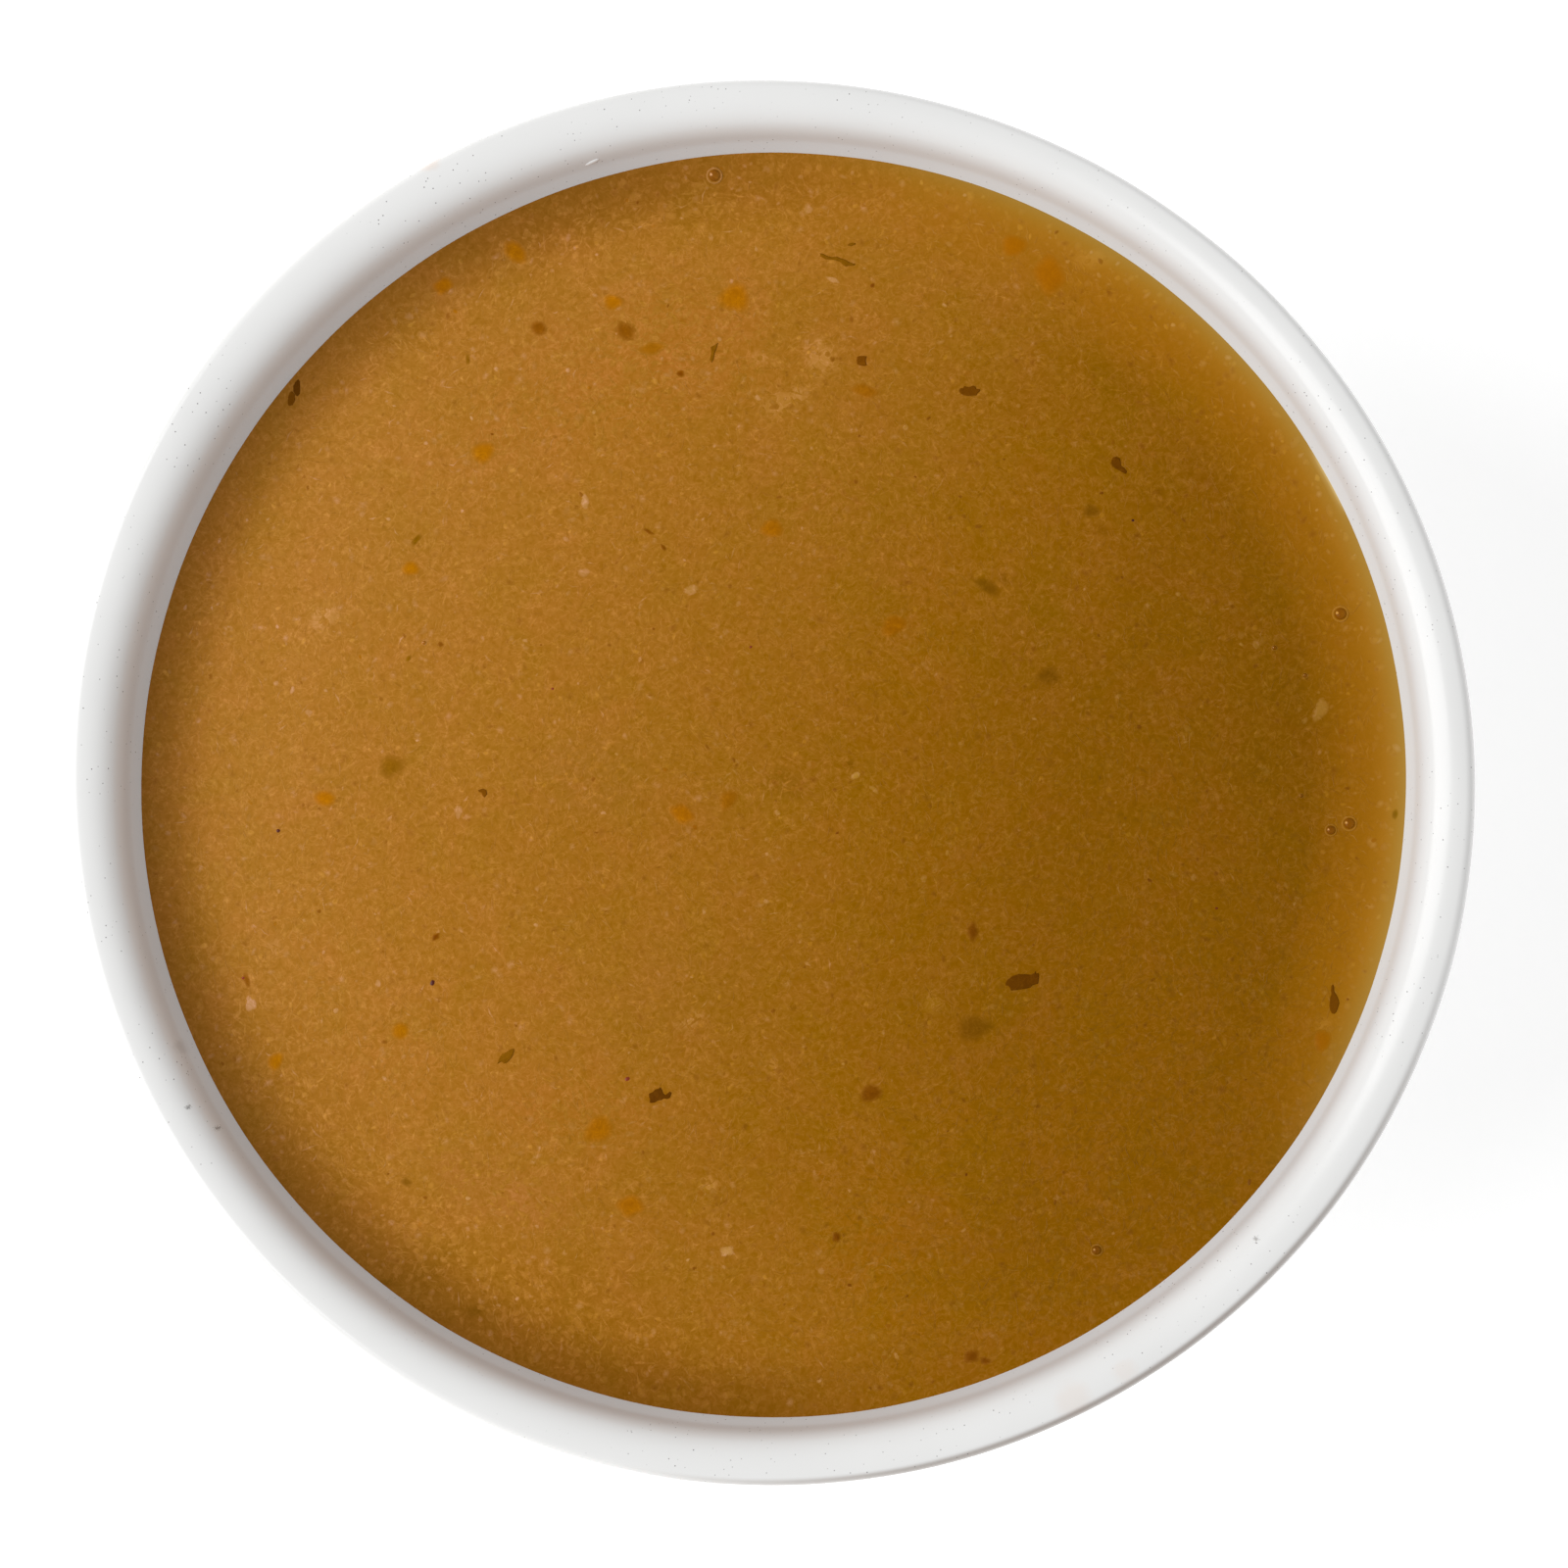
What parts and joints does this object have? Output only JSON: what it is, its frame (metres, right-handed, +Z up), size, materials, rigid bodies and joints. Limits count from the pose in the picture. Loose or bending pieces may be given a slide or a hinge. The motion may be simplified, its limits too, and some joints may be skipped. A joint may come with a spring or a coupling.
{
  "type": "bowl of soup",
  "caption": "Round-lipped white glazed bowl on a foot ring, filled with smooth brown soup that carries herb flakes, carrot bits and a few bubbles.",
  "frame": {"origin": "the middle of the plane that the foot ring rests on", "axes": "+Z up, out of the bowl's mouth; +X to the right and +Y to the top of the picture, which looks down on the bowl"},
  "size_m": [0.1302, 0.1302, 0.06],
  "materials": {
    "glaze": "glossy white glaze over stoneware, with fine pinholes",
    "soup": "wet smooth brown soup with fine pulp",
    "herb": "wet dark olive-brown herb flakes",
    "carrot": "soft wet orange carrot bits"
  },
  "bodies": {
    "root": {"bowl": "glaze", "soup": "soup"}
  },
  "joints": []
}
